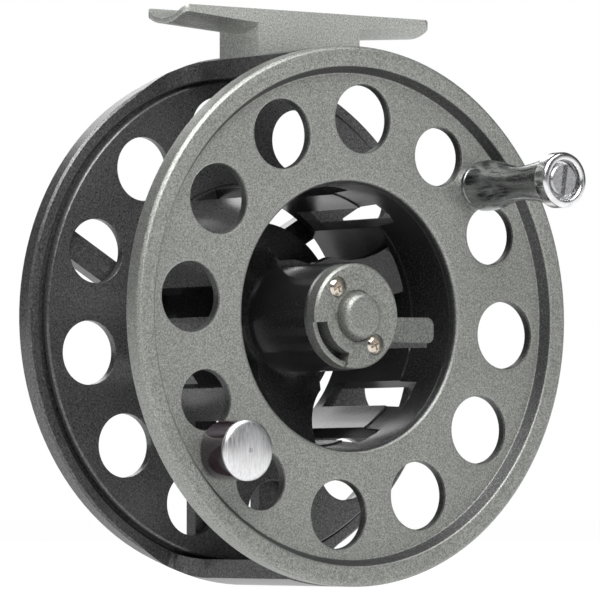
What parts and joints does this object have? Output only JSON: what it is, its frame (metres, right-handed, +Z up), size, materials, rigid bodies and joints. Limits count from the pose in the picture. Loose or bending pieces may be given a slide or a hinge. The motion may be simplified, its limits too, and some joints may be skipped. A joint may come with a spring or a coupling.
{
  "type": "fly reel",
  "caption": "Single-action fly reel with an open half frame, perforated palming-rim spool, quick-release latch, crank knob, counterweight and rear disc drag.",
  "frame": {"origin": "bottom of the saddle in the reel foot, at the middle of the foot's length and width", "axes": "+X along the reel foot and the rod, +Y from the handle side to the drag side along the reel axis, +Z up from the reel axis through the foot"},
  "size_m": [0.097, 0.0714, 0.1041],
  "materials": {
    "painted_grey": "fine metallic speckle, satin",
    "painted_dark": "dark gunmetal, semi-gloss",
    "painted_cap": "light gunmetal speckle, satin",
    "steel": "turned and polished",
    "screw_steel": "warm nickel plate",
    "polished_metal": "smoky polished",
    "bright_aluminium": "polished, finely turned",
    "black_gloss": "gloss black with a plum tint",
    "knob_plastic": "fine matt",
    "bronze": "sintered bronze",
    "brass": "machined",
    "cork": "fine cork composition",
    "nylon": "natural nylon",
    "spring_steel": "blued"
  },
  "bodies": {
    "frame": {"frame": "painted_dark", "reel_foot": "painted_grey", "foot_screws": "screw_steel", "spindle": "steel", "spindle_nut": "steel", "drag_cover": "painted_dark", "cover_screws": "screw_steel", "front_drag_washer": "cork", "rear_drag_washer": "cork", "pressure_plate": "steel", "push_pins": "steel", "thrust_plate": "steel", "drag_spring": "spring_steel"},
    "drag_knob": {"drag_knob": "knob_plastic", "knob_insert": "brass", "knob_end_cap": "bright_aluminium"},
    "rotor": {"brake_rotor": "steel"},
    "spool": {"spool_front_flange": "painted_grey", "spool_arbor": "painted_dark", "spool_rear_flange": "painted_dark", "spool_hub": "painted_dark", "front_bushing": "bronze", "clutch_shell": "steel", "clutch_rollers": "steel", "hub_cap": "painted_cap", "hub_button": "painted_cap", "cap_screws": "screw_steel", "latch_spring": "spring_steel", "handle_post": "steel", "handle_washer": "steel", "counterweight": "black_gloss", "counterweight_face": "bright_aluminium", "counterweight_rivet": "steel"},
    "latch": {"latch_lever": "painted_cap"},
    "handle": {"handle_knob": "polished_metal", "handle_end_ring": "bright_aluminium", "handle_bushes": "nylon"}
  },
  "joints": [
    {"name": "spool_spin", "type": "hinge", "parent": "frame", "child": "spool", "pos_m": [0, -0.0204, -0.0534], "axis": [0, 1, 0], "continuous": true},
    {"name": "rotor_spin", "type": "hinge", "parent": "frame", "child": "rotor", "pos_m": [0, -0.0204, -0.0534], "axis": [0, 1, 0], "continuous": true},
    {"name": "handle_spin", "type": "hinge", "parent": "spool", "child": "handle", "pos_m": [0.02832, -0.0204, -0.02913], "axis": [0, 1, 0], "continuous": true},
    {"name": "latch_press", "type": "slide", "parent": "spool", "child": "latch", "axis": [-1, 0, 0], "range_m": [0, 0.0013], "stiffness_N_per_m": 400, "springref_m": -0.002},
    {"name": "drag_turn", "type": "hinge", "parent": "frame", "child": "drag_knob", "pos_m": [0, -0.0204, -0.0534], "axis": [0, 1, 0], "range_deg": [0, 300]}
  ],
  "couplings": [
    {"joint": "rotor_spin", "follows": "spool_spin", "ratio": 1}
  ]
}
